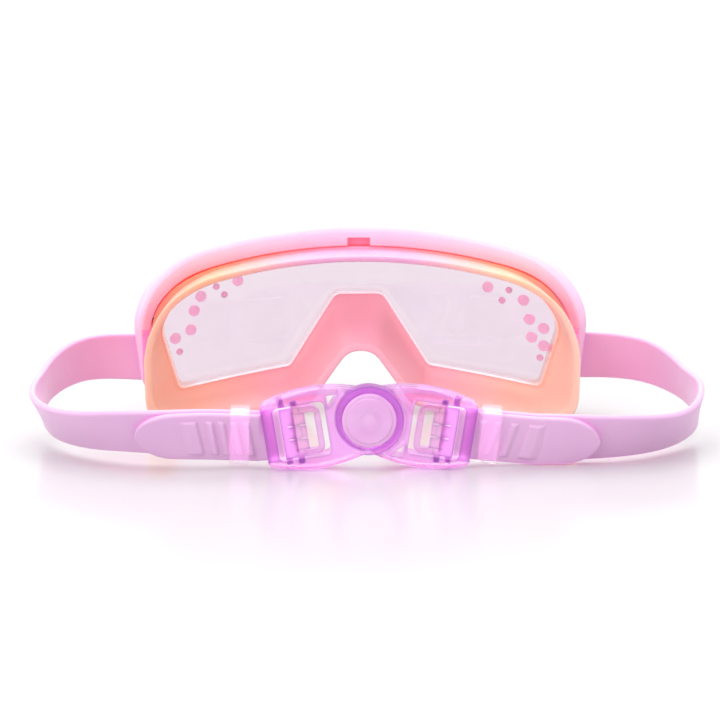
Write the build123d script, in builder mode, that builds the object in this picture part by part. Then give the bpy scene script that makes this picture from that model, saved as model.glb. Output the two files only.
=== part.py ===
from build123d import *
import os
from math import asin, atan2, cos, degrees, pi, radians, sin, sqrt

# Child's swim goggles: one curved lens in a hard frame, a soft face skirt, and a flat
# strap of two halves joined at the back of the head by a clear two-wing buckle.
# +X is the wearer's right, +Y the way the wearer looks, +Z up; Z = 0 is the surface
# that the goggles rest on.

os.makedirs("parts", exist_ok=True)

# ---------------------------------------------------------------- driving dimensions
# Face of the mask
front_y = 60.0            # front of the frame at its centre
wrap_radius = 132.0       # plan radius of the frame's front face
frame_depth = 10.0        # radial depth of the frame
frame_width = 156.0
frame_top = 64.0
lip_depth = 2.1           # lip of the frame in front of the lens
lens_thickness = 2.2
lens_gap = 0.1
notch_width = 8.0         # slot in the frame's rear face, above the nose
notch_height = 3.2
notch_depth = 3.0

# Skirt
skirt_wall = 2.0
flange_thickness = 2.2
skirt_back_y = 30.0       # face edge of the skirt at the forehead
skirt_back_radius = 135.0

# Strap
strap_width = 16.0
strap_thickness = 2.2
bead_diameter = 3.0       # across the strap's end bead, and its length front to rear
bead_depth = 6.2
lug_y = 31.5              # where the strap passes through the frame's side
lug_z = 20.5
post_thickness = 2.7
tail_end = 73.0           # strap tail's tip, measured along the wing from the hub

# Buckle, in the plane of each wing: u outwards from the hub, v across the strap,
# w towards the outside of the head
hub_x = -0.6
hub_y = -55.5
hub_z = 16.0
wing_droop = 9.0          # how far each wing hangs below level, degrees
hub_radius = 10.9
wing_end = 33.2
wing_half_height = 12.6
wing_back = -3.7
wing_face = 5.0
window_start = 13.2
window_end = 29.4
window_half = 8.5
plate_thickness = 1.3     # cross plate over the strap at the wing's outer end
bar_u = 26.5
bar_diameter = 2.2
pivot_u = 22.6
pivot_w = 3.6
trunnion_reach = 9.8
bar_reach = 10.2         # half the bar's length
trunnion_diameter = 2.0
running_fit = 0.05
hub_split = -1.0          # where the two halves' eyes lie on each other
rivet_diameter = 4.0
cap_radius = 8.5

# Keepers
keeper_length = 6.0
keeper_wall = 1.0
keeper_left_u = 41.0
keeper_right_u = 37.4

axis_y = front_y - wrap_radius
clear = 0.3


# ---------------------------------------------------------------- shared outlines
def mask_outline(top, side, side_low, nose_base, nose_top, radii):
    """Face of the mask's shape as seen from the front, in sketch coordinates.

    side is the widest half-width and its height, side_low the outer lower corner,
    nose_base and nose_top the corners of the nose arch.
    """
    side_x, side_z = side
    shoulder = (0.69 * side_x, top - 6.0 * side_x / 78.0)
    bulge = (
        shoulder[0] + 0.74 * (side_x - shoulder[0]),
        shoulder[1] + 0.35 * (side_z - shoulder[1]),
    )
    lower = [side, side_low, nose_base, nose_top]
    mirrored = [(-x, z) for x, z in reversed(lower)]
    with BuildLine() as line:
        brow = ThreePointArc((-shoulder[0], shoulder[1]), (0, top), shoulder)
        down = Vector(side_low[0] - side_x, side_low[1] - side_z)
        corner = Spline(shoulder, bulge, side, tangents=[brow % 1, down])
        mirror(corner, about=Plane.YZ)
        FilletPolyline(*lower, *mirrored, radius=[*radii, *reversed(radii)])
    return make_face(line.edges())


def frame_outline():
    return mask_outline(frame_top, (frame_width / 2, 30.0), (75.0, 4.0), (24.0, 7.0),
                        (9.0, 33.5), [12.0, 6.0, 6.0])


def lens_outline(extra=0.0):
    return mask_outline(56.6 + extra, (72.2 + extra, 28.5), (67.0 + extra, 7.4 - extra),
                        (25.5 - extra, 11.5 - extra), (9.5, 37.5 - extra), [4.0, 4.0, 4.0])


def opening_outline():
    return mask_outline(54.0, (69.4, 28.5), (64.5, 9.0), (25.0, 14.0), (9.0, 39.5), [3.0, 3.0, 4.0])


def window_outline():
    return mask_outline(53.0, (68.0, 28.0), (62.8, 9.8), (24.7, 15.3), (8.5, 40.6), [2.0, 2.0, 4.0])


def shell_between(inner_radius, outer_radius):
    """Upright ring about the wrap axis, cut to the front half."""
    height = 80.0
    with BuildPart() as ring:
        with BuildSketch(Plane.XY.offset(-5.0)):
            with Locations((0, axis_y)):
                Circle(outer_radius)
                Circle(inner_radius, mode=Mode.SUBTRACT)
            with Locations((0, axis_y - outer_radius / 2)):
                Rectangle(3 * outer_radius, outer_radius, mode=Mode.SUBTRACT)
        extrude(amount=height)
    return ring.part


mask_plane = Plane(origin=(0, front_y + 5.0, 0), x_dir=(1, 0, 0), z_dir=(0, -1, 0))
frame_back_radius = wrap_radius - frame_depth
lip_radius = wrap_radius - lip_depth
lens_front_radius = lip_radius - lens_gap
lens_back_radius = lens_front_radius - lens_thickness
flange_front_radius = lens_back_radius - lens_gap
skirt_front_radius = frame_back_radius - clear


def curved_slab(outline, inner_radius, outer_radius, depth=75.0):
    """Outline pushed through the mask and kept between two wrap radii."""
    with BuildPart() as slab:
        with BuildSketch(mask_plane):
            add(outline())
        extrude(amount=depth)
        add(shell_between(inner_radius, outer_radius), mode=Mode.INTERSECT)
    return slab.part


def lies_on_radius(edge, radius):
    """True where every part of the edge keeps to one wrap radius."""
    points = [edge @ t for t in (0.0, 0.5, 1.0)]
    return all(abs(sqrt(p.X ** 2 + (p.Y - axis_y) ** 2) - radius) < 0.01 for p in points)


def save(builder, name):
    builder.part.label = name
    export_step(builder.part, f"parts/{name}.step")


# ---------------------------------------------------------------- frame
pocket_inner_x = 71.0
post_outer_x = frame_width / 2
slot_height = strap_width + 1.4
slot_depth = strap_thickness + 0.8
bead_clearance = 0.25
bead_x = post_outer_x - post_thickness - bead_diameter / 2 - bead_clearance

with BuildPart() as frame:
    with BuildSketch(mask_plane):
        add(frame_outline())
    extrude(amount=75.0)
    add(shell_between(frame_back_radius, wrap_radius), mode=Mode.INTERSECT)
    fillet([e for e in frame.edges() if lies_on_radius(e, wrap_radius)], 3.0)
    fillet([e for e in frame.edges() if lies_on_radius(e, frame_back_radius)], 2.4)
    add(curved_slab(lambda: lens_outline(clear), 60.0, lip_radius), mode=Mode.SUBTRACT)
    add(curved_slab(opening_outline, 60.0, wrap_radius + 5.0), mode=Mode.SUBTRACT)
    # Slot in the rear face above the nose, for the tab of the skirt
    with BuildSketch(Plane.XZ.offset(-(front_y - frame_depth - 1.0))):
        with Locations((0, 56.0 + notch_height / 2)):
            Rectangle(notch_width, notch_height + 1.0)
    extrude(amount=-(notch_depth + 1.0), mode=Mode.SUBTRACT)
    for side in (-1, 1):
        # Pocket for the strap's end bead, open to the rear, and the slot through the post
        pocket_width = post_outer_x - post_thickness - pocket_inner_x
        pocket_front_y = lug_y + bead_diameter / 2 + bead_clearance
        with BuildSketch(Plane.XY.offset(lug_z - slot_height / 2)):
            with Locations((side * (pocket_inner_x + pocket_width / 2), pocket_front_y - 10.0)):
                Rectangle(pocket_width, 20.0)
        extrude(amount=slot_height + 2.0, mode=Mode.SUBTRACT)
        with BuildSketch(Plane.XY.offset(lug_z - slot_height / 2)):
            with Locations((side * post_outer_x, lug_y)):
                Rectangle(12.0, slot_depth)
        extrude(amount=slot_height, mode=Mode.SUBTRACT)
save(frame, "frame")


# ---------------------------------------------------------------- lens and its dots
with BuildPart() as lens:
    add(curved_slab(lens_outline, lens_back_radius, lens_front_radius))
save(lens, "lens")

# Coloured dots bonded to the lens's front near its outer corners: (X, Z)
large_dots = {"left": [(-43.0, 44.6), (-56.0, 39.8), (-58.4, 34.9), (-59.6, 28.2), (-65.0, 25.7)],
              "right": [(46.0, 42.0), (58.3, 38.0), (60.4, 31.4), (65.2, 28.5), (61.2, 25.0),
                        (65.3, 22.3)]}
small_dots = {"left": [(-47.8, 39.9), (-50.6, 42.9), (-63.6, 20.8)],
              "right": [(53.3, 41.3), (51.0, 37.5), (64.1, 17.9)]}
dot_height = 0.5


def dot_group(places, radius):
    with BuildPart() as group:
        with BuildSketch(mask_plane):
            for x, z in places:
                with Locations((x, z)):
                    Circle(radius)
        extrude(amount=75.0)
        front = lens_front_radius
        add(shell_between(front, front + dot_height), mode=Mode.INTERSECT)
    return group


for word in ("left", "right"):
    save(dot_group(large_dots[word], 1.95), f"dots_large_{word}")
    save(dot_group(small_dots[word], 1.2), f"dots_small_{word}")


# ---------------------------------------------------------------- skirt
front_plane_y = front_y - 4.0
back_plane_y = front_y - 56.0
arch_crown = 0.45         # where along the skirt the nose arch reaches its round crown


def skirt_outline(t, inset):
    """Skirt's section at t = 0 in the front plane and t = 1 in the back plane."""

    def blend(front_value, back_value):
        return front_value + (back_value - front_value) * t

    top = blend(55.8, 55.6) - inset
    side = (blend(68.6, 74.4) - inset, blend(28.0, 20.0))
    side_low = (blend(66.0, 74.0) - inset, blend(8.0, -3.2) + inset)
    nose_base = (blend(25.0, 12.0) + inset, blend(11.0, -4.0) + inset)
    # The nose arch narrows quickly to its round crown, then keeps its width
    narrow = min(1.0, t / arch_crown)
    nose_top = (9.5 - 5.2 * narrow + inset / 2, blend(38.0, 7.0) + inset)
    return mask_outline(top, side, side_low, nose_base, nose_top,
                        [blend(6.0, 14.0), blend(4.0, 9.0), 4.0 + 4.0 * narrow])


def skirt_loft(inset):
    with BuildPart() as cup:
        for t in (0.0, arch_crown, 1.0):
            y = front_plane_y + (back_plane_y - front_plane_y) * t
            with BuildSketch(Plane(origin=(0, y, 0), x_dir=(1, 0, 0), z_dir=(0, -1, 0))):
                add(skirt_outline(t, inset))
        loft(ruled=True)
        # Only what lies behind the frame and in front of the curved face edge stays
        add(shell_between(20.0, skirt_front_radius), mode=Mode.INTERSECT)
        with BuildSketch(Plane.XY):
            with Locations((0, skirt_back_y - skirt_back_radius)):
                Circle(skirt_back_radius)
        extrude(amount=80.0, mode=Mode.SUBTRACT)
        with BuildSketch(Plane.XY):
            Rectangle(300.0, 300.0)
        extrude(amount=-10.0, mode=Mode.SUBTRACT)
    return cup.part


skirt_solid = skirt_loft(0.0)
window_tunnel = curved_slab(window_outline, 60.0, wrap_radius)
with BuildPart() as flange:
    add(skirt_solid)
    add(shell_between(skirt_front_radius - flange_thickness, skirt_front_radius),
        mode=Mode.INTERSECT)
    add(window_tunnel, mode=Mode.SUBTRACT)
with BuildPart() as neck:
    neck_radius = skirt_front_radius - flange_thickness / 2
    add(curved_slab(lambda: lens_outline(-0.25), neck_radius, flange_front_radius))
    add(window_tunnel, mode=Mode.SUBTRACT)
with BuildPart() as skirt:
    add(skirt_solid)
    add(skirt_loft(skirt_wall), mode=Mode.SUBTRACT)
    add(flange.part)
    add(neck.part)
save(skirt, "skirt")


# ---------------------------------------------------------------- straps
def smooth(values, t):
    """Value at t from 0 to 1 along evenly spaced values, without corners."""
    count = len(values) - 1
    x = min(max(t, 0.0), 1.0) * count
    i = min(int(x), count - 1)
    f = x - i
    p0 = values[max(i - 1, 0)]
    p1, p2 = values[i], values[i + 1]
    p3 = values[min(i + 2, count)]
    return p1 + 0.5 * f * (p2 - p0 + f * (2 * p0 - 5 * p1 + 4 * p2 - p3
                                          + f * (3 * (p1 - p2) + p3 - p0)))


# The two straps lie a little differently: left is -1 and right is 1
strap_reach = {-1: 107.3, 1: 109.5}     # furthest the middle line stands from the centre
lug_turn_radius = {-1: 30.5, 1: 32.5}
rear_turn_radius = {-1: 46.0, 1: 39.0}
strap_rise = {-1: 2.0, 1: -5.5}         # slope of the straight stretch under the keeper
fold_radius = (bar_diameter + strap_thickness) / 2 + 0.05
leg_y = hub_y + fold_radius
droop = radians(wing_droop)
exit_x = {side: (wing_end + 1.0) * cos(droop) + side * hub_x for side in (-1, 1)}
exit_z = hub_z - (wing_end + 1.0) * sin(droop)
straight_x = 52.0


def straight_z(side, x):
    return exit_z + (x - exit_x[side]) * sin(radians(strap_rise[side]))


# Height of the middle line and its lean (top edge outwards, degrees), at even steps
# from the frame to the keeper
strap_heights = {-1: [lug_z, 21.0, 15.6, 11.0, 10.0, 11.3, straight_z(-1, straight_x)],
                 1: [lug_z, 19.8, 15.0, 12.6, 8.9, 8.9, straight_z(1, straight_x)]}
strap_leans = {-1: [0.0, -12.0, -8.0, 26.0, 36.0, 28.0, 16.0],
               1: [0.0, -12.0, -18.0, 6.0, 34.0, 26.0, 12.0]}


def plan_stretches(side):
    """Lengths of the lead-out, the first turn, the side run and the rear turn."""
    lead = strap_reach[side] - lug_turn_radius[side] - bead_x
    drop = lug_y - lug_turn_radius[side] - leg_y - rear_turn_radius[side]
    return lead, lug_turn_radius[side] * pi / 2, drop, rear_turn_radius[side] * pi / 2


def plan_point(side, distance):
    """Plan position of a strap's middle line, measured from its bead, as on the right."""
    lead, first_turn, drop, rear_turn = plan_stretches(side)
    reach = strap_reach[side]
    first = lug_turn_radius[side]
    rear = rear_turn_radius[side]
    if distance < lead:
        return bead_x + distance, lug_y
    distance -= lead
    if distance < first_turn:
        a = distance / first
        return reach - first * (1 - sin(a)), lug_y - first * (1 - cos(a))
    distance -= first_turn
    if distance < drop:
        return reach, lug_y - first - distance
    distance -= drop
    if distance < rear_turn:
        a = distance / rear
        return reach - rear * (1 - cos(a)), leg_y + rear - rear * sin(a)
    distance -= rear_turn
    return reach - rear - distance, leg_y


def strap_run(side):
    """Length of the middle line from the bead to the straight stretch."""
    return sum(plan_stretches(side)) + strap_reach[side] - rear_turn_radius[side] - straight_x


def strap_place(side, distance, outward=0.0):
    """Middle of the strap at a distance from its bead, its heading and its width axis."""

    run = strap_run(side)

    def middle(d):
        x, y = plan_point(side, d)
        if d > run:
            return Vector(side * x, y, straight_z(side, x))
        return Vector(side * x, y, smooth(strap_heights[side], d / run))

    step = 0.5
    along = (middle(distance + step) - middle(distance - step)).normalized()
    up = (Vector(0, 0, 1) - along * along.Z).normalized()
    out = up.cross(along) * side
    lean = radians(smooth(strap_leans[side], distance / run))
    up = up * cos(lean) + out * sin(lean)
    out = up.cross(along) * side
    return middle(distance) + out * outward, along, up


def wing_place(side, u, w, turn=0.0):
    """A strap station inside the wing: turn is the heading about the bar, in radians."""
    outwards = Vector(side * cos(droop), 0, -sin(droop))
    outside = Vector(0, -1, 0)
    middle = Vector(hub_x, hub_y, hub_z) + outwards * u + outside * w
    along = outwards * -cos(turn) + outside * sin(turn)
    up = Vector(side * sin(droop), 0, cos(droop))
    return middle, along, up


def strap_stations(side):
    """Every station of one strap, from its bead round the bar to the tail's tip."""
    exit_run = strap_run(side) + straight_x - exit_x[side]
    stations = []
    runs = 30
    first = 0.6
    last = exit_run - 0.9
    for i in range(runs + 1):
        place = strap_place(side, first + (last - first) * i / runs)
        stations.append((*place, strap_width))
    for u in (wing_end - 1.6, bar_u + 0.4):
        stations.append((*wing_place(side, u, -fold_radius), strap_width))
    folds = 10
    for i in range(folds + 1):
        a = pi * i / folds
        u = bar_u - fold_radius * sin(a)
        stations.append((*wing_place(side, u, -fold_radius * cos(a), a), strap_width))
    # The tail closes on the main leg inside the wing and follows it to a rounded tip
    stack = strap_thickness + 0.3
    closing_steps = 5
    closing_start = bar_u + 1.2
    for i in range(closing_steps + 1):
        t = i / closing_steps
        u = closing_start + (wing_end - 1.6 - closing_start) * t
        w = fold_radius - (2 * fold_radius - stack) * (1 - cos(pi * t)) / 2
        stations.append((*wing_place(side, u, w, pi), strap_width))
    tail_length = tail_end - wing_end
    tail_start = 1.9
    tip = 9.0
    tail_steps = 14
    for i in range(tail_steps + 1):
        run = tail_start + (tail_length - tail_start) * i / tail_steps
        middle, along, up = strap_place(side, exit_run + 1.0 - run, stack)
        rest = max(0.0, (run - tail_length + tip) / tip)
        width = strap_width * sqrt(max(0.08, 1.0 - rest ** 2))
        stations.append((middle, along * -1, up, width))
    return stations


def make_strap(side):
    with BuildPart() as strap:
        for middle, along, up, width in strap_stations(side):
            with BuildSketch(Plane(origin=middle, x_dir=up, z_dir=along)):
                Rectangle(width, strap_thickness)
        loft(ruled=True)
        with BuildSketch(Plane.XY.offset(lug_z - strap_width / 2 - 0.4)):
            with Locations((side * bead_x, lug_y + (bead_diameter - bead_depth) / 2)):
                RectangleRounded(bead_diameter, bead_depth, 0.48 * bead_diameter)
        extrude(amount=strap_width + 0.8)
    return strap


for side, word in ((-1, "left"), (1, "right")):
    save(make_strap(side), f"strap_{word}")


# ---------------------------------------------------------------- buckle
def wing_plane(side, w=0.0):
    """Sketch plane across a wing, at height w towards the outside of the head."""
    return Plane(origin=(hub_x, hub_y - w, hub_z), x_dir=(side * cos(droop), 0, -sin(droop)),
                 z_dir=(0, -1, 0))


def across_plane(side, u, w):
    """Sketch plane square to the strap's width, centred at (u, w) of a wing."""
    middle, _, up = wing_place(side, u, w)
    return Plane(origin=middle, x_dir=(side * cos(droop), 0, -sin(droop)), z_dir=up)


eye_radius = 10.4
split_gap = 0.1
turn_gap = 0.4
cap_floor = 3.0
cap_edge = 5.4
cap_crown = 5.8
rivet_head_radius = 3.6
rivet_head_height = 1.2
rivet_snap_radius = 2.9
snap_floor = 1.7
total = wing_face - wing_back
window_mid = (window_start + window_end) / 2
through = total + 2.0


def hub_plane(w):
    return Plane(origin=(hub_x, hub_y - w, hub_z), x_dir=(1, 0, 0), z_dir=(0, -1, 0))


def disc(radius, low, high):
    """Round slab about the hub's axis between two heights."""
    with BuildPart() as round_slab:
        with BuildSketch(hub_plane(low)):
            Circle(radius)
        extrude(amount=high - low)
    return round_slab.part


def wing_blank(side):
    """Solid wing from the hub to its outer end, before anything is cut from it."""
    with BuildPart() as blank:
        with BuildSketch(wing_plane(side, wing_back)) as shape:
            with BuildLine():
                top = ThreePointArc((2.0, 10.2), (18.5, wing_half_height), (wing_end, 9.6))
                bottom = ThreePointArc((2.0, -10.2), (18.5, -wing_half_height), (wing_end, -9.6))
                Line(top @ 0, bottom @ 0)
                Line(top @ 1, bottom @ 1)
            make_face()
            fillet(shape.vertices().group_by(Axis.X)[-1], 1.8)
        extrude(amount=total)
        fillet(blank.faces().sort_by(Axis.Y)[0].edges(), 1.8)
        fillet(blank.faces().sort_by(Axis.Y)[-1].edges(), 1.0)
    return blank.part


def wing_cuts(side):
    """Everything that is open in a wing: window, strap slot, reliefs, bar and pivot holes."""
    relief = ((8.2, -10.0), (12.1, -10.0), (12.1, -5.7))
    slot_length = 10.0
    with BuildPart() as cuts:
        with BuildSketch(wing_plane(side, wing_back - 1.0)):
            with Locations((window_mid, 0)):
                RectangleRounded(window_end - window_start, 2 * window_half, 1.5)
            with BuildLine():
                Polyline(*relief, close=True)
            make_face()
        extrude(amount=through)
        with BuildSketch(wing_plane(side, wing_back - 1.0)):
            with Locations((window_end - 2.0 + slot_length / 2, 0)):
                Rectangle(slot_length, 2 * window_half)
        extrude(amount=total + 1.0 - plate_thickness)
        with BuildSketch(across_plane(side, bar_u, 0.0)):
            Circle(bar_diameter / 2 + 0.01)
        extrude(amount=bar_reach, both=True)
        with BuildSketch(across_plane(side, pivot_u, pivot_w)):
            Circle(trunnion_diameter / 2 + running_fit)
        extrude(amount=trunnion_reach + 0.15, both=True)
    return cuts.part


with BuildPart() as buckle_left_half:
    add(wing_blank(-1))
    add(disc(hub_radius, hub_split, wing_face))
    add(wing_cuts(-1), mode=Mode.SUBTRACT)
    add(disc(eye_radius + turn_gap, wing_back - 1.0, hub_split), mode=Mode.SUBTRACT)
    add(disc(cap_radius + 0.1, cap_floor, wing_face + 1.0), mode=Mode.SUBTRACT)
    add(disc(rivet_snap_radius + 0.05, snap_floor, wing_face), mode=Mode.SUBTRACT)
    add(disc(rivet_diameter / 2 + running_fit, wing_back, wing_face), mode=Mode.SUBTRACT)
    rim = [e for e in buckle_left_half.edges().filter_by(GeomType.CIRCLE)
           if abs(e.radius - (cap_radius + 0.1)) < 0.01
           and abs(e.center().Y - (hub_y - wing_face)) < 0.01]
    chamfer(rim, 0.4)
save(buckle_left_half, "buckle_left_half")

with BuildPart() as buckle_right_half:
    add(wing_blank(1))
    add(disc(hub_radius + turn_gap, hub_split - split_gap, wing_face + 1.0),
        mode=Mode.SUBTRACT)
    add(disc(eye_radius, wing_back, hub_split - split_gap))
    add(wing_cuts(1), mode=Mode.SUBTRACT)
    add(disc(rivet_diameter / 2 + running_fit, wing_back - 1.0, wing_face),
        mode=Mode.SUBTRACT)
save(buckle_right_half, "buckle_right_half")

with BuildPart() as hub_rivet:
    add(disc(rivet_head_radius, wing_back - 0.05 - rivet_head_height, wing_back - 0.05))
    add(disc(rivet_diameter / 2, wing_back - 0.1, cap_floor - 0.1))
    add(disc(rivet_snap_radius, snap_floor, cap_floor - 0.1))
    fillet(hub_rivet.faces().sort_by(Axis.Y)[-1].edges(), 0.5)
save(hub_rivet, "hub_rivet")

with BuildPart() as hub_cap:
    add(disc(cap_radius, cap_floor + 0.02, cap_edge))
    fillet(hub_cap.faces().sort_by(Axis.Y)[0].edges(), 0.6)
    add(disc(cap_radius - 1.3, cap_edge - 0.5, cap_crown))
    chamfer(hub_cap.faces().sort_by(Axis.Y)[0].edges(), 0.2)
    with BuildSketch(hub_plane(cap_crown - 0.1)):
        Circle(3.3)
        Circle(2.7, mode=Mode.SUBTRACT)
    extrude(amount=0.3)
save(hub_cap, "hub_cap")


# ---------------------------------------------------------------- levers and bars
lever_start = 14.7        # u of the thumb end, nearest the hub
lever_end = 27.4
lever_half = 7.8
lever_corner = 3.0
lever_bottom = 3.55       # w of the plate's two faces
lever_top = 4.85
thumb_bottom = 1.7        # the thumb end is deeper than the plate
thumb_top = 5.2
thumb_end = 21.2
arm_half = 5.9            # inner faces of the two arms
opening_start = 16.7
opening_end = 19.6
tongue_half = 2.1
tongue_root = 25.3
slit = 0.5
hook_u = 20.3
hook_length = 1.4
hook_bottom = 2.2
boss_length = 2.7
boss_bottom = 2.5
overlap = 0.4             # how far joined pieces of one moulding run into each other


def make_lever(side):
    """Grip lever: a thumb frame, a toothed end over the strap, and a sprung tongue."""
    with BuildPart() as lever:
        with BuildSketch(wing_plane(side, lever_bottom)) as plate:
            with Locations(((lever_start + lever_end) / 2, 0)):
                Rectangle(lever_end - lever_start, 2 * lever_half)
            fillet(plate.vertices().group_by(Axis.X)[0], lever_corner)
            with Locations(((opening_start + opening_end) / 2, 0)):
                Rectangle(opening_end - opening_start, 2 * arm_half, mode=Mode.SUBTRACT)
            slit_mid = (opening_end + tongue_root) / 2
            with Locations((slit_mid, tongue_half), (slit_mid, -tongue_half)):
                Rectangle(tongue_root - opening_end + overlap, slit, mode=Mode.SUBTRACT)
        extrude(amount=lever_top - lever_bottom)
        with BuildSketch(wing_plane(side, thumb_bottom)) as thumb:
            with Locations(((lever_start + thumb_end) / 2, 0)):
                Rectangle(thumb_end - lever_start, 2 * lever_half)
            fillet(thumb.vertices().group_by(Axis.X)[0], lever_corner)
            with Locations(((opening_start + thumb_end + 1.0) / 2, 0)):
                Rectangle(thumb_end + 1.0 - opening_start, 2 * arm_half, mode=Mode.SUBTRACT)
        extrude(amount=thumb_top - thumb_bottom)
        # Hook under the tongue's free end
        with BuildSketch(wing_plane(side, hook_bottom)):
            with Locations((hook_u, 0)):
                Rectangle(hook_length, 2 * tongue_half - slit)
        extrude(amount=lever_bottom + overlap - hook_bottom)
        # Bosses and the trunnions that turn in the rails
        with BuildSketch(wing_plane(side, boss_bottom)):
            for flip in (-1, 1):
                with Locations((pivot_u, flip * (arm_half + lever_half) / 2)):
                    Rectangle(boss_length, lever_half - arm_half)
        extrude(amount=lever_top - boss_bottom)
        with BuildSketch(across_plane(side, pivot_u, pivot_w)):
            Circle(trunnion_diameter / 2)
        extrude(amount=trunnion_reach, both=True)
        # The round bar between the arms is cut away, so only the two stubs stay
        with BuildSketch(wing_plane(side, pivot_w - trunnion_diameter)):
            with Locations((pivot_u, 0)):
                Rectangle(boss_length, 2 * arm_half)
        extrude(amount=lever_bottom - pivot_w + trunnion_diameter, mode=Mode.SUBTRACT)
    return lever


def make_bar(side):
    """Bar that the strap folds round, pressed into both rails."""
    with BuildPart() as bar:
        with BuildSketch(across_plane(side, bar_u, 0.0)):
            Circle(bar_diameter / 2)
        extrude(amount=bar_reach - 0.05, both=True)
        chamfer(bar.edges(), 0.25)
    return bar


def make_keeper(side, u):
    """Loose loop that holds the strap's tail against its main leg."""
    stack = 2 * strap_thickness + 0.3
    play = 0.25
    distance = strap_run(side) + straight_x - u
    middle, along, up = strap_place(side, distance, (strap_thickness + 0.3) / 2)
    with BuildPart() as keeper:
        with BuildSketch(Plane(origin=middle, x_dir=up, z_dir=along)):
            RectangleRounded(strap_width + 2 * (play + keeper_wall),
                             stack + 2 * (play + keeper_wall), 1.2)
            Rectangle(strap_width + 2 * play, stack + 2 * play, mode=Mode.SUBTRACT)
        extrude(amount=keeper_length / 2, both=True)
    return keeper


for side, word, keeper_u in ((-1, "left", keeper_left_u), (1, "right", keeper_right_u)):
    save(make_lever(side), f"grip_lever_{word}")
    save(make_bar(side), f"strap_bar_{word}")
    save(make_keeper(side, keeper_u), f"strap_keeper_{word}")
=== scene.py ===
from math import asin, cos, pi, radians, sin, sqrt, tan

import bmesh
import bpy
import numpy as np
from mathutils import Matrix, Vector


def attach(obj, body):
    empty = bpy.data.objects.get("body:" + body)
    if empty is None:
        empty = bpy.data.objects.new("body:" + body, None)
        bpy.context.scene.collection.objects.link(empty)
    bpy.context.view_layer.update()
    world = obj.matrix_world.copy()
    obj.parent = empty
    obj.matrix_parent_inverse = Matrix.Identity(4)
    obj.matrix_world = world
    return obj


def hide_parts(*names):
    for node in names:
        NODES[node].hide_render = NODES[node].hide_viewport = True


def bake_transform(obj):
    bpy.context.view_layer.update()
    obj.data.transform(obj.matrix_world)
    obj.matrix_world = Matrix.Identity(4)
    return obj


# A child's swim mask seen from behind: the CAD frame with its materials, a soft skirt and two
# soft strap halves that replace the CAD's plain ones, a pale floor, soft lights and the camera.
# Lengths in the modelling sections are millimetres and are scaled by MM when a mesh is made.

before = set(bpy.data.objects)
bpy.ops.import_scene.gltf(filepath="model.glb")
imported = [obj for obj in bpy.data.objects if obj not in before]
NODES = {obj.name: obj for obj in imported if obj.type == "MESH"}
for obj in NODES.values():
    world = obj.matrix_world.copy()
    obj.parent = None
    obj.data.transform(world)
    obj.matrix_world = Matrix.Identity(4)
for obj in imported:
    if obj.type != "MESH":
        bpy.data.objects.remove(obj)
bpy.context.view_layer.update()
SCENE = bpy.context.scene
MM = 0.001


# ------------------------------------------------------------------ materials
AO_SAMPLES = 8
EDGE_REACH = 0.0014        # how far inside clear plastic the painted shade along an edge still shows its deeper colour
BLACK = (0.0, 0.0, 0.0, 1.0)
PINKISH = (1.0, 0.6, 0.9)  # how far red, green and blue travel under pink silicone or plastic


def lin(r, g, b):
    """Linear colour of an 8-bit screen colour."""
    def one(c):
        c /= 255.0
        return c / 12.92 if c <= 0.04045 else ((c + 0.055) / 1.055) ** 2.4
    return (one(r), one(g), one(b), 1.0)


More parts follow.
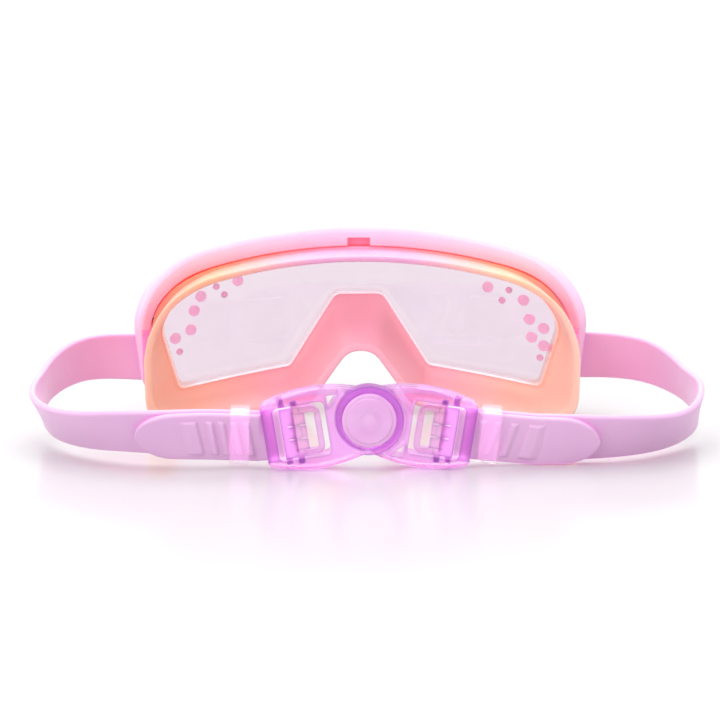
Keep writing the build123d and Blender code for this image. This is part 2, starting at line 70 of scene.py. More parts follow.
class Mat:
    """A Principled material with small helpers for its node tree."""

    def __init__(self, name):
        self.mat = bpy.data.materials.new(name)
        self.mat.use_nodes = True
        self.tree = self.mat.node_tree
        self.shader = self.tree.nodes["Principled BSDF"]
        self.coords = self.tree.nodes.new("ShaderNodeTexCoord")

    def set(self, **values):
        """Constant values for the shader's sockets, with _ for each space in a socket's name."""
        for key, value in values.items():
            self.shader.inputs[key.replace("_", " ")].default_value = value
        return self

    def node(self, kind, **values):
        made = self.tree.nodes.new(kind)
        for key, value in values.items():
            made.inputs[key.replace("_", " ")].default_value = value
        return made

    def link(self, a, b):
        self.tree.links.new(a, b)

    def noise(self, scale, detail=3.0, rough=0.5):
        made = self.node("ShaderNodeTexNoise", Scale=scale, Detail=detail, Roughness=rough)
        self.link(self.coords.outputs["Object"], made.inputs["Vector"])
        return made.outputs["Fac"]

    def ramp(self, fac, stops):
        made = self.tree.nodes.new("ShaderNodeValToRGB")
        self.link(fac, made.inputs["Fac"])
        elements = made.color_ramp.elements
        while len(elements) < len(stops):
            elements.new(0.5)
        for element, (place, colour) in zip(elements, stops):
            element.position = place
            element.color = colour
        return made.outputs["Color"]

    def span(self, value, low, high, to_low=0.0, to_high=1.0):
        """Value from low to high, carried to to_low and to_high and clamped there."""
        made = self.node("ShaderNodeMapRange")
        self.link(value, made.inputs["Value"])
        for name, v in (("From Min", low), ("From Max", high),
                        ("To Min", to_low), ("To Max", to_high)):
            made.inputs[name].default_value = v
        return made.outputs["Result"]

    def mottle(self, scale, strength=1.0, detail=3.0):
        """Soft cloudy factor from 0 to strength."""
        return self.span(self.noise(scale, detail), 0.35, 0.65, 0.0, strength)

    def axis(self, name):
        """The object's own X, Y or Z in metres."""
        made = self.tree.nodes.new("ShaderNodeSeparateXYZ")
        self.link(self.coords.outputs["Object"], made.inputs["Vector"])
        return made.outputs[name]

    def off_centre(self):
        """Distance from the object's middle plane, in metres."""
        made = self.node("ShaderNodeMath")
        made.operation = "ABSOLUTE"
        self.link(self.axis("X"), made.inputs[0])
        return made.outputs[0]

    def shelter(self, reach, inside=False):
        """1 in the open, towards 0 in a deep gap, or near an edge when measured inside."""
        made = self.node("ShaderNodeAmbientOcclusion", Distance=reach)
        made.samples = AO_SAMPLES
        made.inside = inside
        return made.outputs["AO"]

    def glow(self, open_part, colour, strength):
        """Painted glow: the colour is emitted where the soft material is deep in a gap, standing
        in for light coming through it.
        """
        self.link(self.mix(open_part, colour, BLACK), self.shader.inputs["Emission Color"])
        self.shader.inputs["Emission Strength"].default_value = strength

    def mix(self, fac, a, b):
        made = self.tree.nodes.new("ShaderNodeMix")
        made.data_type = "RGBA"
        for socket, value in zip((made.inputs[0], made.inputs[6], made.inputs[7]), (fac, a, b)):
            if isinstance(value, bpy.types.NodeSocket):
                self.link(value, socket)
            else:
                socket.default_value = value
        return made.outputs[2]

    def colour(self, socket):
        self.link(socket, self.shader.inputs["Base Color"])
        return self

    def rough(self, low, high, scale=400.0):
        self.link(self.span(self.noise(scale), 0.3, 0.7, low, high),
                  self.shader.inputs["Roughness"])
        return self

    def bump(self, strength, distance, *noises):
        """Bump from one or more noises: (scale, weight)."""
        total = None
        for scale, weight in noises:
            term = self.span(self.noise(scale, 4.0), 0.0, 1.0, 0.0, weight)
            if total is None:
                total = term
            else:
                add = self.node("ShaderNodeMath")
                self.link(total, add.inputs[0])
                self.link(term, add.inputs[1])
                total = add.outputs[0]
        made = self.node("ShaderNodeBump", Strength=strength, Distance=distance)
        self.link(total, made.inputs["Height"])
        self.link(made.outputs["Normal"], self.shader.inputs["Normal"])
        return self


def moulded_frame():
    """Pale pink hard plastic, with a painted highlight that makes it paler towards the crown and
    red-orange painted shade with a painted glow in the gap by the skirt.
    """
    m = Mat("frame_plastic")
    # Painted highlight: paler towards the crown, where the light falls from above
    height = m.span(m.axis("Z"), 0.0, 0.064)
    base = m.ramp(height, [(0.0, lin(242, 184, 220)), (0.5, lin(244, 198, 228)),
                           (1.0, lin(247, 212, 238))])
    tint = m.mix(m.mottle(60.0, 0.25), base, lin(252, 228, 244))
    # Painted shade and glow: red-orange where the frame is sheltered in the gap by the skirt
    gap = m.ramp(m.span(m.axis("X"), -0.078, 0.078),
                 [(0.0, lin(240, 170, 206)), (0.06, lin(246, 150, 176)),
                  (0.12, lin(255, 96, 84)), (0.5, lin(255, 120, 150)),
                  (0.88, lin(255, 110, 96)), (0.94, lin(246, 150, 176)),
                  (1.0, lin(240, 170, 206))])
    unshaded = m.span(m.shelter(0.009), 0.2, 0.85)
    m.glow(m.span(unshaded, 0.0, 0.45), gap, 0.4)
    m.colour(m.mix(unshaded, gap, tint)).rough(0.26, 0.36, 300.0)
    m.bump(0.12, 0.0004, (900.0, 0.6), (90.0, 0.4))
    m.set(Subsurface_Weight=0.3, Subsurface_Radius=PINKISH, Subsurface_Scale=0.002,
          IOR=1.47, Coat_Weight=0.2, Coat_Roughness=0.15)
    return m.mat


def strap_silicone():
    """Lilac-pink silicone: lilac at the buckle, pinker towards the mask, with painted shade and a
    painted glow where it is sheltered.
    """
    m = Mat("strap_silicone")
    depth = m.span(m.axis("Y"), -0.06, 0.03)
    base = m.ramp(depth, [(0.0, lin(222, 176, 217)), (0.5, lin(228, 180, 218)),
                          (1.0, lin(238, 172, 212))])
    tint = m.mix(m.mottle(45.0, 0.2), base, lin(238, 202, 232))
    # Painted shade: a deeper lilac where the strap is sheltered
    unshaded = m.span(m.shelter(0.003), 0.1, 0.9)
    # Painted glow: brighter on the part of the strap inside the clear buckle, standing in for the
    # light that the buckle lets through
    outside = m.span(m.off_centre(), 0.030, 0.0345)
    lit = m.mix(outside, lin(255, 226, 240), lin(160, 112, 152))
    m.glow(m.span(unshaded, 0.0, 0.6), lit, 0.95)
    m.colour(m.mix(unshaded, lin(228, 164, 218), tint)).rough(0.36, 0.5, 350.0)
    m.bump(0.15, 0.0004, (1100.0, 0.5), (120.0, 0.5))
    m.set(Subsurface_Weight=0.3, Subsurface_Radius=PINKISH, Subsurface_Scale=0.0015,
          IOR=1.43, Sheen_Weight=0.1, Sheen_Roughness=0.5)
    return m.mat


def skirt_silicone():
    """Peach silicone that turns pink in the middle, with a lilac and yellow top band, and
    red-orange painted shade with a painted glow where it is sheltered, as in the gap by the
    frame.
    """
    m = Mat("skirt_silicone")
    across = m.span(m.axis("X"), -0.075, 0.075)
    low = m.ramp(across, [(0.0, lin(255, 194, 164)), (0.14, lin(255, 186, 166)),
                          (0.3, lin(255, 176, 190)), (0.5, lin(255, 168, 190)),
                          (0.7, lin(255, 186, 200)), (0.84, lin(255, 194, 178)),
                          (1.0, lin(255, 200, 178))])
    high = m.ramp(across, [(0.0, lin(255, 170, 130)), (0.16, lin(255, 190, 146)),
                           (0.4, lin(228, 170, 212)), (0.6, lin(230, 172, 212)),
                           (0.84, lin(255, 208, 164)), (1.0, lin(255, 178, 138))])
    base = m.mix(m.span(m.axis("Z"), 0.040, 0.051), low, high)
    tint = m.mix(m.mottle(50.0, 0.15), base, lin(255, 210, 200))
    # Painted shade and glow: red-orange where the skirt is sheltered, as in the gap by the frame
    gap = m.ramp(across, [(0.0, lin(255, 70, 52)), (0.25, lin(255, 104, 84)),
                          (0.5, lin(255, 120, 140)), (0.78, lin(255, 110, 96)),
                          (1.0, lin(255, 84, 60))])
    unshaded = m.span(m.shelter(0.006), 0.15, 0.8)
    m.glow(m.span(unshaded, 0.0, 0.45), gap, 0.45)
    m.colour(m.mix(unshaded, gap, tint)).rough(0.32, 0.45, 350.0)
    m.bump(0.12, 0.0004, (1000.0, 0.5), (70.0, 0.5))
    m.set(Subsurface_Weight=0.5, Subsurface_Radius=(1.0, 0.5, 0.5), Subsurface_Scale=0.003,
          IOR=1.43, Coat_Weight=0.1, Coat_Roughness=0.25)
    return m.mat


def rim_silicone():
    """Glossy edge of the window: pale along the middle, skirt-coloured at both ends, and glowing
    in its own colour as a painted highlight.
    """
    m = Mat("skirt_rim")
    base = m.mix(m.mottle(120.0), lin(255, 226, 234), lin(255, 236, 242))
    base = m.mix(m.span(m.off_centre(), 0.056, 0.063), base, lin(255, 176, 152))
    # The rim emits its own colour: a painted glow for the highlight along the window's edge
    m.link(base, m.shader.inputs["Emission Color"])
    m.colour(base).rough(0.12, 0.2, 300.0).bump(0.05, 0.0002, (600.0, 1.0))
    m.set(Subsurface_Weight=0.4, Subsurface_Radius=(1.0, 0.6, 0.6), Subsurface_Scale=0.001,
          Coat_Weight=0.6, Coat_Roughness=0.08, Emission_Strength=0.28)
    return m.mat


def clear(name, tint, deep, roughness, ior=1.5, bump=0.08, alpha=1.0, edge=None, lit=0.0):
    """Clear moulded plastic: tint at its palest and deep where it is darkest.

    edge is a painted shade that colours it along its edges, and lit is the strength of its
    painted glow."""
    m = Mat(name)
    base = m.mix(m.mottle(140.0, detail=2.0), tint, deep)
    if edge:
        # Painted shade along the edges, and a painted glow of strength lit
        inner = m.span(m.shelter(EDGE_REACH, inside=True), 0.45, 0.9)
        base = m.mix(inner, edge, base)
        m.set(Emission_Color=lin(240, 140, 236), Emission_Strength=lit)
    m.colour(base).rough(roughness, roughness + 0.04, 500.0)
    m.bump(bump, 0.0003, (260.0, 0.7), (1200.0, 0.3))
    m.set(Transmission_Weight=1.0, IOR=ior, Alpha=alpha)
    return m.mat


def printed(name, colour, edge, alpha):
    """Translucent coloured dot on the lens."""
    m = Mat(name)
    base = m.mix(m.span(m.noise(500.0), 0.4, 0.6), colour, edge)
    m.colour(base).rough(0.25, 0.4, 900.0).bump(0.1, 0.0002, (1500.0, 1.0))
    # The dot's emission in its own colour is a painted glow
    m.set(Subsurface_Weight=0.4, Subsurface_Radius=(1.0, 0.5, 0.6), Subsurface_Scale=0.0015,
          Emission_Color=colour, Emission_Strength=0.4, Alpha=alpha)
    return m.mat


def floor_paper():
    """Smooth pale paper, a little paler far behind the mask, where less light reaches it."""
    m = Mat("floor_paper")
    base = m.mix(m.span(m.noise(3.0), 0.3, 0.7), lin(208, 207, 208), lin(211, 210, 211))
    base = m.mix(m.span(m.axis("Y"), 2.0, 4.5), base, lin(240, 239, 240))
    m.colour(base).rough(0.17, 0.2, 8.0)
    m.set(IOR=1.5)
    return m.mat


def frosted(name, colour, edge, through, alpha=1.0):
    """Pale plastic that lets part of the light through."""
    m = Mat(name)
    m.colour(m.mix(m.mottle(160.0), colour, edge)).rough(0.06, 0.12, 600.0)
    m.bump(0.06, 0.0003, (200.0, 0.7), (1200.0, 0.3))
    m.set(Transmission_Weight=through, IOR=1.45, Subsurface_Weight=0.3,
          Subsurface_Radius=(1.0, 0.7, 1.0), Subsurface_Scale=0.002, Alpha=alpha)
    return m.mat


FRAME_PLASTIC = moulded_frame()
STRAP = strap_silicone()
SKIRT = skirt_silicone()
SKIRT_RIM = rim_silicone()
LENS = clear("lens_clear", lin(232, 217, 227), lin(234, 219, 229), 0.0, 1.45, 0.0)
# The buckle and its levers get a dark painted shade along their edges and a faint painted glow
BUCKLE = clear("buckle_clear", lin(236, 142, 240), lin(230, 126, 236), 0.03,
               alpha=0.62, edge=lin(104, 8, 146), lit=0.1)
LEVER = clear("lever_clear", lin(240, 156, 240), lin(232, 134, 236), 0.03,
              alpha=0.5, edge=lin(110, 12, 150), lit=0.08)
CAP = frosted("buckle_cap", lin(253, 206, 248), lin(250, 196, 244), 0.3)
KEEPER = frosted("keeper_clear", lin(238, 232, 242), lin(232, 226, 238), 0.5, alpha=0.18)
DOT_PINK = printed("dot_pink", lin(255, 204, 226), lin(255, 212, 232), 0.7)
DOT_MAUVE = printed("dot_mauve", lin(238, 184, 212), lin(242, 194, 220), 0.75)

MATERIALS = {"frame": FRAME_PLASTIC, "lens": LENS, "hub_rivet": LEVER, "hub_cap": CAP}
for word in ("left", "right"):
    MATERIALS.update({f"dots_large_{word}": DOT_PINK, f"dots_small_{word}": DOT_MAUVE,
                      f"buckle_{word}_half": BUCKLE, f"grip_lever_{word}": LEVER,
                      f"strap_bar_{word}": BUCKLE, f"strap_keeper_{word}": KEEPER})
for node, material in MATERIALS.items():
    for slot in NODES[node].material_slots:
        slot.material = material


# ------------------------------------------------------------------ mesh helpers
def mesh_object(name, points, faces, material, smooth=True):
    mesh = bpy.data.meshes.new(name)
    mesh.from_pydata([tuple(p) for p in points], [], faces)
    mesh.validate()
    mesh.materials.append(material)
    for polygon in mesh.polygons:
        polygon.use_smooth = smooth
    made = bpy.data.objects.new(name, mesh)
    SCENE.collection.objects.link(made)
    return made


def grid_faces(rows, columns, close_rows=False):
    """Quads of a rows x columns grid of points, numbered row by row and closed along each row."""
    faces = []
    for i in range(rows if close_rows else rows - 1):
        for j in range(columns):
            a, b = i, (i + 1) % rows
            c, d = j, (j + 1) % columns
            faces.append((a * columns + c, a * columns + d, b * columns + d, b * columns + c))
    return faces


def outward(made):
    """Turns every face of a closed mesh outwards."""
    work = bmesh.new()
    work.from_mesh(made.data)
    bmesh.ops.recalc_face_normals(work, faces=work.faces)
    work.to_mesh(made.data)
    work.free()


# ------------------------------------------------------------------ the mask's outlines
FRONT_Y = 60.0
WRAP = 132.0               # radius of the lens's front about the upright wrap axis
AXIS_Y = FRONT_Y - WRAP
MASK_HALF = 78.0           # half the frame's width
BROW_STEPS, SIDE_STEPS, EDGE_STEPS, CORNER_STEPS, NOSE_STEPS = 22, 12, 16, 12, 6


def hermite(p0, p1, m0, m1, steps):
    """Points from p0 up to, but not with, p1, leaving along m0 and arriving along m1."""
    out = []
    for i in range(steps):
        t = i / steps
        h00, h10 = 2 * t ** 3 - 3 * t ** 2 + 1, t ** 3 - 2 * t ** 2 + t
        h01, h11 = -2 * t ** 3 + 3 * t ** 2, t ** 3 - t ** 2
        out.append(p0 * h00 + m0 * h10 + p1 * h01 + m1 * h11)
    return out


def mask_outline(top, side, side_low, nose_base, nose_top, radii):
    """Closed outline of the mask as points that correspond from one outline to another."""
    side, side_low = np.array(side), np.array(side_low)
    side_x = side[0]
    shoulder = np.array([0.69 * side_x, top - 6.0 * side_x / MASK_HALF])
    bulge = shoulder + np.array([0.74, 0.35]) * (side - shoulder)
    # Brow: the circle through both shoulders and the top
    sag = top - shoulder[1]
    radius = (shoulder[0] ** 2 + sag ** 2) / (2 * sag)
    reach = asin(shoulder[0] / radius)
    half = []
    for i in range(BROW_STEPS):
        a = reach * i / BROW_STEPS
        half.append(np.array([radius * sin(a), top - radius * (1 - cos(a))]))
    start = np.array([cos(reach), -sin(reach)])
    end = (side_low - side) / np.linalg.norm(side_low - side)
    chord_a, chord_b = np.linalg.norm(bulge - shoulder), np.linalg.norm(side - bulge)
    middle = (side - shoulder) / (chord_a + chord_b)
    half += hermite(shoulder, bulge, start * chord_a, middle * chord_a, SIDE_STEPS)
    half += hermite(bulge, side, middle * chord_b, end * chord_b, SIDE_STEPS)
    # Rounded corners from the side, under the eye and up to the nose arch
    corners = [side, side_low, np.array(nose_base), np.array(nose_top),
               np.array([0.0, nose_top[1]])]
    last = side
    for before, corner, after, r in zip(corners, corners[1:], corners[2:], radii):
        a = (before - corner) / np.linalg.norm(before - corner)
        b = (after - corner) / np.linalg.norm(after - corner)
        turn = np.arccos(np.clip(a @ b, -1, 1))
        cut = min(r / tan(turn / 2), 0.95 * np.linalg.norm(after - corner))
        first, second = corner + a * cut, corner + b * cut
        half += [last + (first - last) * i / EDGE_STEPS for i in range(EDGE_STEPS)]
        for i in range(CORNER_STEPS):
            t = i / CORNER_STEPS
            half.append(first * (1 - t) ** 2 + corner * 2 * t * (1 - t) + second * t ** 2)
        last = second
    half += [last + (corners[-1] - last) * i / NOSE_STEPS for i in range(NOSE_STEPS + 1)]
    mirrored = [p * np.array([-1.0, 1.0]) for p in reversed(half[1:-1])]
    return np.array(half + mirrored)


def lens_outline(extra):
    """Outline of the lens, grown outwards by extra."""
    return mask_outline(56.6 + extra, (72.2 + extra, 28.5), (67.0 + extra, 7.4 - extra),
                        (25.5 - extra, 11.5 - extra), (9.5, 37.5 - extra), [4.0, 4.0, 4.0])


def window_outline(extra):
    """Outline of the window that the skirt leaves, grown outwards by extra."""
    return mask_outline(53.0 + extra, (68.0 + extra, 28.0), (62.8 + extra, 9.8 - extra),
                        (24.7 - extra * 0.6, 15.3 - extra), (8.5 - extra * 0.4, 40.6 - extra),
                        [2.5, 3.0, 4.0])


ARCH_CROWN = 0.45          # part of the way back where the nose arch's crown is narrowest


def skirt_outline(t, inset):
    """Outline of the skirt's wall from its front, t = 0, to its back, t = 1."""
    def blend(front_value, back_value):
        return front_value + (back_value - front_value) * t
    narrow = min(1.0, t / ARCH_CROWN)
    return mask_outline(blend(55.8, 55.6) - inset,
                        (blend(68.6, 74.4) - inset, blend(28.0, 20.0)),
                        (blend(66.0, 74.0) - inset, blend(8.0, -3.2) + inset),
                        (blend(25.0, 12.0) + inset, blend(11.0, -4.0) + inset),
                        (9.5 - 5.2 * narrow + inset / 2, blend(38.0, 7.0) + inset),
                        [blend(6.0, 14.0), blend(4.0, 9.0), 4.0 + 4.0 * narrow])


def on_wrap(outline, radius):
    """Outline carried onto the upright cylinder about the wrap axis."""
    return np.array([[x, AXIS_Y + sqrt(radius ** 2 - x ** 2), z] for x, z in outline])


# ------------------------------------------------------------------ skirt
FRONT_PLANE, BACK_PLANE = 56.0, 4.0
FRAME_BACK = WRAP - 10.0           # radius of the frame's rear face, where the skirt begins
WALL_FRONT = FRAME_BACK + 0.25
FLANGE_BACK = FRAME_BACK - 0.3 - 2.2
NECK_FRONT = WRAP - 2.1 - 0.1 - 2.2 - 0.1
FACE_RADIUS = 135.0                # radius of the curve that the skirt's face edge follows
FACE_CENTRE = 30.0 - FACE_RADIUS
WALL = 2.0                         # wall thickness
BASE = 1.3                         # height of the inner wall where it rests on the floor
NECK_INSET = -0.25                 # how much the neck stays inside the lens's outline
OUTER_POINTS, INNER_POINTS, FLANGE_STEPS = 26, 20, 10
STEPS = 40
WALLS = {inset: [skirt_outline(i / STEPS, inset) for i in range(STEPS + 1)]
         for inset in (0.0, WALL)}


def wall_point(inset, index, t):
    """Point number index of a wall's outline, a part t of the way back."""
    step = min(int(t * STEPS), STEPS - 1)
    f = t * STEPS - step
    x, z = WALLS[inset][step][index] * (1 - f) + WALLS[inset][step + 1][index] * f
    return np.array([x, FRONT_PLANE + (BACK_PLANE - FRONT_PLANE) * t, z])


def solve(inside, low=0.0, high=1.0):
    """Where inside turns from true to false between low and high."""
    for _ in range(24):
        mid = (low + high) / 2
        low, high = (mid, high) if inside(mid) else (low, mid)
    return (low + high) / 2


def wall_line(inset, index, front_radius, count, back_trim=0.0):
    """Points of one wall from its front to the face edge."""
    def before_front(t):
        x, y, _ = wall_point(inset, index, t)
        return sqrt(x * x + (y - AXIS_Y) ** 2) > front_radius

    def before_back(t):
        x, y, _ = wall_point(inset, index, t)
        return sqrt(x * x + (y - FACE_CENTRE) ** 2) > FACE_RADIUS + back_trim
    start = solve(before_front)
    end = max(solve(before_back), start + 0.02)
    return [wall_point(inset, index, start + (end - start) * i / (count - 1))
            for i in range(count)]


def flatten(p, floor_z):
    """Rounds a point's height off at the surface that the skirt rests on."""
    soft = 1.2
    z = p[2] - floor_z
    if z >= 4 * soft:
        return p
    return np.array([p[0], p[1], floor_z + (z + sqrt(z * z + soft * soft)) / 2])


def make_skirt():
    """Face skirt as one closed skin: outer wall, lip, inner wall, flange, window rim and neck."""
    count = len(WALLS[0.0][0])
    # From the back of the window's edge, through the window, to the front of the neck
    rim = [on_wrap(window_outline(0.55), FLANGE_BACK),
           on_wrap(window_outline(0.3), FLANGE_BACK - 0.35),
           on_wrap(window_outline(0.05), FLANGE_BACK - 0.25),
           on_wrap(window_outline(0.0), FLANGE_BACK + 0.8),
           on_wrap(window_outline(0.0), NECK_FRONT)]
    neck = [on_wrap(lens_outline(NECK_INSET), NECK_FRONT),
            on_wrap(lens_outline(NECK_INSET), WALL_FRONT)]
    columns = []
    for i in range(count):
        outer = [flatten(p, 0.0) for p in wall_line(0.0, i, WALL_FRONT, OUTER_POINTS)]
        inner = [flatten(p, BASE) for p in
                 reversed(wall_line(WALL, i, FLANGE_BACK - 6.5, INNER_POINTS, 0.25))]
        corner = flatten(wall_line(WALL, i, FLANGE_BACK - 0.1, 3)[0], BASE)
        run = outer[-2] - outer[-1]
        edge = outer[-1] - run / np.linalg.norm(run) * 0.35
        lip = [edge * 0.8 + inner[0] * 0.2, (edge + inner[0]) / 2 + (edge - outer[-1]) * 0.6,
               edge * 0.2 + inner[0] * 0.8]
        flange = []
        for step in range(1, FLANGE_STEPS):
            f = step / FLANGE_STEPS
            flange.append(inner[-1] * (1 - f) ** 2 + corner * 2 * f * (1 - f) + rim[0][i] * f * f)
        columns.append(outer + lip + inner + flange + [ring[i] for ring in rim + neck])
    points = [p * MM for column in columns for p in column]
    width = len(columns[0])
    made = mesh_object("skirt_soft", points, grid_faces(count, width, close_rows=True), SKIRT)
    made.data.materials.append(SKIRT_RIM)
    rim_first = width - len(rim) - len(neck)
    rim_last = rim_first + len(rim) - 1
    for polygon in made.data.polygons:
        places = [v % width for v in polygon.vertices]
        if min(places) >= rim_first and max(places) <= rim_last:
            polygon.material_index = 1
    outward(made)
    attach(made, "root")
    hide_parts("skirt")


make_skirt()


# ------------------------------------------------------------------ straps
# Left is -1 and right is 1; a wing's u runs outwards from the hub along its drooping axis
STRAP_WIDTH, STRAP_THICK = 16.0, 2.2
LAYER_GAP = 0.3                    # between the strap's main leg and its tail
BEAD_X, BEAD_RADIUS = MASK_HALF - 2.7 - 1.5 - 0.25, 1.5
BEAD_REAR = 3.2                    # how far the bead reaches back
LUG_Y, LUG_Z = 31.5, 20.5          # middle of the strap where it leaves the frame
REACH = {-1: 107.3, 1: 109.5}      # how far out the strap bows
LUG_TURN = {-1: 30.5, 1: 32.5}     # radius of its turn beside the frame
REAR_TURN = {-1: 46.0, 1: 39.0}    # radius of its turn at the back
RISE = {-1: 2.0, 1: -5.5}          # slope of its straight stretch in degrees
HUB = np.array([-0.6, -55.5, 16.0])
DROOP = radians(9.0)
WING_END, BAR_U, BAR_RADIUS = 33.2, 26.5, 1.1
TAIL_END = 73.0
SLOT_END = WING_END - 1.6          # where a wing's slot lets go of the strap
FOLD = BAR_RADIUS + STRAP_THICK / 2 + 0.05
LEG_Y = HUB[1] + FOLD
EXIT_X = {side: (WING_END + 1.0) * cos(DROOP) + side * HUB[0] for side in (-1, 1)}
EXIT_Z = HUB[2] - (WING_END + 1.0) * sin(DROOP)
STRAIGHT_X = 52.0


def straight_z(side, x):
    return EXIT_Z + (x - EXIT_X[side]) * sin(radians(RISE[side]))


# Heights and sideways leans of the strap at equal steps from the frame to the straight stretch
HEIGHTS = {-1: [LUG_Z, 21.0, 15.6, 11.0, 10.0, 11.3, straight_z(-1, STRAIGHT_X)],
           1: [LUG_Z, 19.8, 15.0, 12.6, 8.9, 8.9, straight_z(1, STRAIGHT_X)]}
LEANS = {-1: [0.0, -12.0, -8.0, 26.0, 36.0, 28.0, 16.0],
         1: [0.0, -12.0, -18.0, 6.0, 34.0, 26.0, 12.0]}


def smooth_value(values, t):
    """Value a part t of the way along evenly spaced values, on a smooth curve."""
    count = len(values) - 1
    x = min(max(t, 0.0), 1.0) * count
    i = min(int(x), count - 1)
    f = x - i
    p0, p1, p2, p3 = values[max(i - 1, 0)], values[i], values[i + 1], values[min(i + 2, count)]
    return p1 + 0.5 * f * (p2 - p0 + f * (2 * p0 - 5 * p1 + 4 * p2 - p3
                                          + f * (3 * (p1 - p2) + p3 - p0)))


def stretches(side):
    """Lengths of the strap's lead, first turn, side run and rear turn, seen from above."""
    lead = REACH[side] - LUG_TURN[side] - BEAD_X
    drop = LUG_Y - LUG_TURN[side] - LEG_Y - REAR_TURN[side]
    return lead, LUG_TURN[side] * pi / 2, drop, REAR_TURN[side] * pi / 2


def plan_point(side, distance):
    """How far out and how far forward the strap is at a distance from its bead."""
    lead, first_turn, drop, rear_turn = stretches(side)
    reach, first, rear = REACH[side], LUG_TURN[side], REAR_TURN[side]
    if distance < lead:
        return BEAD_X + distance, LUG_Y
    distance -= lead
    if distance < first_turn:
        a = distance / first
        return reach - first * (1 - sin(a)), LUG_Y - first * (1 - cos(a))
    distance -= first_turn
    if distance < drop:
        return reach, LUG_Y - first - distance
    distance -= drop
    if distance < rear_turn:
        a = distance / rear
        return reach - rear * (1 - cos(a)), LEG_Y + rear - rear * sin(a)
    return reach - rear - (distance - rear_turn), LEG_Y


def strap_run(side):
    return sum(stretches(side)) + REACH[side] - REAR_TURN[side] - STRAIGHT_X


def strap_place(side, distance, out_by=0.0):
    """Middle, direction and up of the strap at a distance from its bead."""
    run = strap_run(side)

    def middle(d):
        x, y = plan_point(side, d)
        z = straight_z(side, x) if d > run else smooth_value(HEIGHTS[side], d / run)
        return Vector((side * x, y, z))
    along = (middle(distance + 0.5) - middle(distance - 0.5)).normalized()
    up = (Vector((0, 0, 1)) - along * along.z).normalized()
    out = up.cross(along) * side
    lean = radians(smooth_value(LEANS[side], distance / run))
    up = up * cos(lean) + out * sin(lean)
    out = up.cross(along) * side
    return middle(distance) + out * out_by, along, up


def wing_place(side, u, w, turn=0.0):
    """Middle, direction and up of the strap in a wing, w outside the bar and turned about it."""
    away = Vector((side * cos(DROOP), 0, -sin(DROOP)))
    outside = Vector((0, -1, 0))
    along = away * -cos(turn) + outside * sin(turn)
    return Vector(HUB) + away * u + outside * w, along, Vector((side * sin(DROOP), 0, cos(DROOP)))


# Steep faces of the strap's grip teeth, as distances from the middle, and each ramp's length
TEETH = {-1: [(53.5, 5.2), (48.6, 2.3), (45.0, 2.2), (40.9, 2.3), (37.4, 2.2)],
         1: [(48.1, 5.6), (42.4, 2.6), (37.1, 2.6), (32.9, 2.2)]}
TOOTH_HEIGHT = 0.95
TOOTH_HALF = 5.9                   # half of a tooth's length across the strap
TOOTH_LEAN = 0.2
TOOTH_FOOT = 0.25                  # how far the steep face's foot spreads
TIP = 11.5                         # length of the tail's rounded end
LEG_STEPS, JOIN_STEPS, FOLD_STEPS, TAIL_STEPS = 180, 4, 16, 210


def ease(t):
    return t * t * (3 - 2 * t)


def join(before, after, flip, steps):
    """Stations strictly between two others, turned smoothly from one to the other."""
    out = []
    for i in range(1, steps):
        t = i / steps
        s = ease(t)
        out.append((before[0].lerp(after[0], t), before[1].lerp(after[1] * flip, s).normalized(),
                    before[2].lerp(after[2], s).normalized(), STRAP_WIDTH, None))
    return out


def strap_stations(side):
    """(middle, along, up, width, x) from the bead, round the bar, to the tail's tip."""
    exit_run = strap_run(side) + STRAIGHT_X - EXIT_X[side]
    first, last = 0.6, exit_run - 0.9
    stations = []
    for i in range(LEG_STEPS + 1):
        distance = first + (last - first) * i / LEG_STEPS
        stations.append((*strap_place(side, distance), STRAP_WIDTH, None))
    stations += join(stations[-1], wing_place(side, SLOT_END, -FOLD), 1, JOIN_STEPS + 1)
    for i in range(4):
        u = SLOT_END + (BAR_U + 0.2 - SLOT_END) * i / 3
        stations.append((*wing_place(side, u, -FOLD), STRAP_WIDTH, None))
    for i in range(FOLD_STEPS + 1):
        a = pi * i / FOLD_STEPS
        place = wing_place(side, BAR_U - FOLD * sin(a), -FOLD * cos(a), a)
        stations.append((*place, STRAP_WIDTH, None))
    stack = STRAP_THICK + LAYER_GAP
    start = BAR_U + 0.6
    for i in range(1, 13):
        t = i / 12
        u = start + (SLOT_END - start) * t
        w = FOLD - (2 * FOLD - stack) * (1 - cos(pi * t)) / 2
        stations.append((*wing_place(side, u, w, pi), STRAP_WIDTH, u))
    length = TAIL_END - WING_END
    begin = 1.9
    tail_start = strap_place(side, exit_run + 1.0 - begin, stack)
    stations += join(stations[-1], tail_start, -1, JOIN_STEPS)
    for i in range(TAIL_STEPS + 1):
        t = i / TAIL_STEPS
        run = begin + (length - begin) * (1 - (1 - t) ** 1.25)
        middle, along, up = strap_place(side, exit_run + 1.0 - run, stack)
        rest = max(0.0, (run - length + TIP) / TIP)
        width = STRAP_WIDTH * sqrt(max(0.015, 1.0 - rest ** 2.0))
        stations.append((middle, along * -1, up, width, abs(middle.x)))
    return stations


def tooth_height(side, x, v):
    """Height of the grip teeth at x from the middle and v across the strap."""
    if x is None:
        return 0.0
    edge = ease(min(1.0, max(0.0, (TOOTH_HALF - abs(v)) / 0.5)))
    for steep, ramp in TEETH[side]:
        ahead = x - steep - TOOTH_LEAN * v
        if -TOOTH_FOOT <= ahead <= ramp:
            rise = min(1.0, (ahead + TOOTH_FOOT) / 0.35)
            fall = min(1.0, (ramp - ahead) / ramp * (2.6 if ramp > 4 else 1.9))
            return TOOTH_HEIGHT * edge * rise * fall
    return 0.0


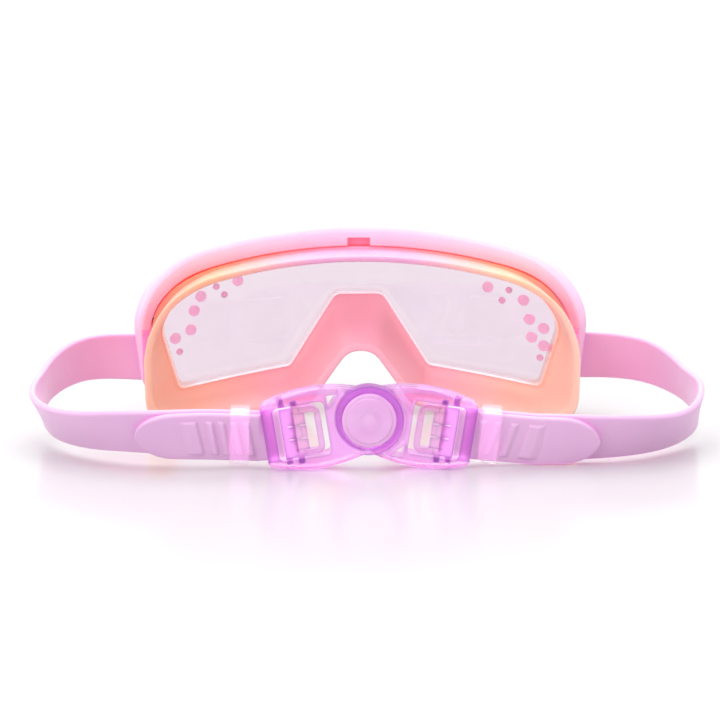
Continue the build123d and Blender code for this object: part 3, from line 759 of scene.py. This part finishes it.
def section(width, thick):
    """Rounded strip as (v, w, side) points; side is 1 on the outer face, -1 on the inner."""
    half, corner = width / 2, min(0.75, thick * 0.36)
    face = [half - corner - f for f in (0.0, 0.6, 1.2, 1.35, 1.5, 1.75, 2.2, 3.2, 4.6, 6.2)]
    face = [v for v in face if v > 0.2]
    while len(face) < 10:
        face.append(max(face[-1] * 0.6, 0.05) if face else 0.1)
    line = face + [-v for v in reversed(face)]
    # One rounded corner, from its face to its edge
    bend = [(half - corner + corner * sin(pi / 2 * i / 4), thick / 2 - corner
             + corner * cos(pi / 2 * i / 4)) for i in range(1, 4)]
    out = [(v, thick / 2, 1) for v in line]
    out += [(-v, w, 0) for v, w in bend] + [(-half, 0.0, 0)]
    out += [(-v, -w, 0) for v, w in reversed(bend)]
    out += [(v, -thick / 2, -1) for v in reversed(line)]
    out += [(v, -w, 0) for v, w in bend] + [(half, 0.0, 0)]
    out += [(v, w, 0) for v, w in reversed(bend)]
    return out


def end_caps(rows, columns):
    return [tuple(range(columns)), tuple(reversed(range((rows - 1) * columns, rows * columns)))]


def make_bead(side, word):
    """Bead at the strap's end, in the frame's pocket."""
    ring, rows = 20, 9
    half = STRAP_WIDTH / 2 + 0.4
    points = []
    for i in range(rows):
        z = half * sin((-1 + 2 * i / (rows - 1)) * pi / 2)
        past = max(0.0, abs(z) - half + 1.0)
        r = BEAD_RADIUS * min(1.0, sqrt(max(0.04, 1 - past ** 2)))
        for j in range(ring):
            a = 2 * pi * j / ring
            rear = BEAD_REAR if sin(a) < 0 else 0.0
            points.append(Vector((side * BEAD_X + r * cos(a), LUG_Y + r * sin(a) - rear,
                                  LUG_Z + z)) * MM)
    faces = grid_faces(rows, ring) + end_caps(rows, ring)
    made = mesh_object(f"strap_{word}_bead", points, faces, STRAP)
    outward(made)
    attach(made, "root")


def make_strap(side, word):
    """One half of the strap: main leg, fold round the bar, and the toothed tail."""
    points = []
    stations = strap_stations(side)
    for middle, along, up, width, x in stations:
        normal = up.cross(along) * side
        for v, w, face in section(width, STRAP_THICK):
            extra = tooth_height(side, x, v) if face == -1 else 0.0
            points.append((middle + up * v + normal * (w - extra)) * MM)
    columns = len(section(STRAP_WIDTH, STRAP_THICK))
    faces = grid_faces(len(stations), columns) + end_caps(len(stations), columns)
    made = mesh_object(f"strap_{word}_soft", points, faces, STRAP)
    outward(made)
    make_bead(side, word)
    if side < 0:
        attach(made, "root")
        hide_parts("strap_left")
    else:
        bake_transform(made)
        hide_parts("strap_right")


for side, word in ((-1, "left"), (1, "right")):
    make_strap(side, word)


# ------------------------------------------------------------------ floor, light, camera
FLOOR_SIDE, FLOOR_NEAR, FLOOR_FAR = 9, -4, 40
WORLD_STRENGTH = 1.08
CAMERA_PLACE = Vector((-0.0298, -0.7873, 0.1635))
CAMERA_TARGET = Vector((-0.00133, 0.0, 0.0246))
CAMERA_LENS, SENSOR_WIDTH = 119.4, 36.0
CAMERA_NEAR, CAMERA_FAR = 0.05, 20.0

floor = mesh_object("floor", [(-FLOOR_SIDE, FLOOR_NEAR, 0), (FLOOR_SIDE, FLOOR_NEAR, 0),
                              (FLOOR_SIDE, FLOOR_FAR, 0), (-FLOOR_SIDE, FLOOR_FAR, 0)],
                    [(0, 1, 2, 3)], floor_paper(), False)

world = bpy.data.worlds.new("studio")
SCENE.world = world
world.use_nodes = True
background = world.node_tree.nodes["Background"].inputs
background["Color"].default_value = (1.0, 1.0, 1.0, 1.0)
background["Strength"].default_value = WORLD_STRENGTH


def aim(made, place, target):
    made.location = place
    made.rotation_euler = (Vector(target) - Vector(place)).to_track_quat("-Z", "Y").to_euler()
    SCENE.collection.objects.link(made)


def soft_light(name, place, target, size, power):
    data = bpy.data.lights.new(name, "AREA")
    data.shape = "RECTANGLE"
    data.size, data.size_y = size
    data.energy = power
    aim(bpy.data.objects.new(name, data), place, target)


soft_light("overhead", (0.0, 0.1, 0.9), (0, 0, 0), (1.2, 0.9), 3.6)
soft_light("front_left", (-0.7, -0.8, 0.6), (0, 0, 0.03), (0.6, 0.6), 3.0)
soft_light("behind", (0.0, 3.2, 3.0), (0, 0.6, 0.0), (3.0, 2.0), 58.0)

camera_data = bpy.data.cameras.new("camera")
camera_data.lens = CAMERA_LENS
camera_data.sensor_width = SENSOR_WIDTH
camera_data.clip_start = CAMERA_NEAR
camera_data.clip_end = CAMERA_FAR
camera = bpy.data.objects.new("camera", camera_data)
aim(camera, CAMERA_PLACE, CAMERA_TARGET)
SCENE.camera = camera

SCENE.view_settings.view_transform = "Standard"
SCENE.view_settings.look = "None"
SCENE.view_settings.exposure = 0.0
